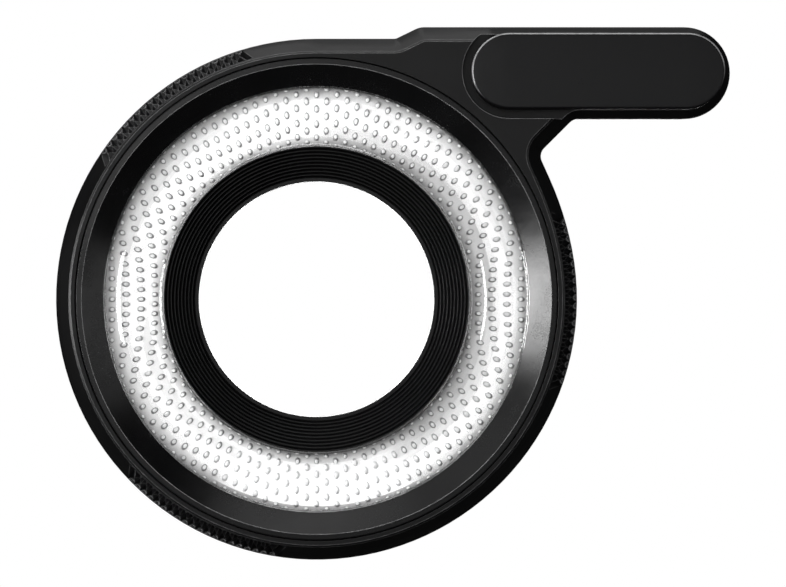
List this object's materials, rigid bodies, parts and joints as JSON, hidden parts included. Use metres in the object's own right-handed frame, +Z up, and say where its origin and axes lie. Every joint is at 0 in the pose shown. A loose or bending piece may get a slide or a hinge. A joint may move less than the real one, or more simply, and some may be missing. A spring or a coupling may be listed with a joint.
{
  "type": "led light guide",
  "caption": "Clip-on light guide for a compact camera: a clear domed ring in a black bayonet housing, with an arm that leads light in from the camera's own lamp.",
  "frame": {"origin": "centre of the lens register bore, on the shoulder at its rear mouth", "axes": "+Y along the lens axis towards the camera, so the front faces -Y; +Z up and +X towards the arm's tip in the front view"},
  "size_m": [0.0621, 0.0109, 0.0491],
  "materials": {
    "shell_black": "fine moulded texture, satin",
    "bezel_black": "smooth satin",
    "clear_optic": "clear, polished",
    "beaded_optic": "milky, with small beads on its front",
    "baffle_black": "matte, stepped",
    "cap_black": "very fine satin",
    "adhesive": "adhesive sheet",
    "clear_pipe": "clear polished",
    "white_reflector": "matte white",
    "foam_black": "fine foam",
    "rear_black": "fine moulded texture",
    "clear_window": "clear polished",
    "rubber_black": "matte soft",
    "steel_satin": "turned satin",
    "screw_steel": "plated",
    "spring_steel": "bright strip",
    "screw_black": "black oxide",
    "felt_black": "short felt",
    "dot_white": "filled paint dot"
  },
  "bodies": {
    "root": {"front_housing": "shell_black", "bezel_ring": "bezel_black", "light_ring": "clear_optic", "guide_ring": "beaded_optic", "ribbed_baffle": "baffle_black", "arm_cap": "cap_black", "cap_adhesive": "adhesive", "light_pipe": "clear_pipe", "pipe_reflector": "white_reflector", "pipe_seal": "foam_black", "ring_reflector": "white_reflector", "ring_foam_pads": "foam_black", "rear_cover": "rear_black", "entry_window": "clear_window", "window_gasket": "rubber_black", "bayonet_ring": "steel_satin", "bayonet_screws": "screw_steel", "bayonet_springs": "spring_steel", "cover_screws": "screw_black", "lens_felt_ring": "felt_black", "arm_bumper": "rubber_black", "index_dot": "dot_white"}
  },
  "joints": []
}
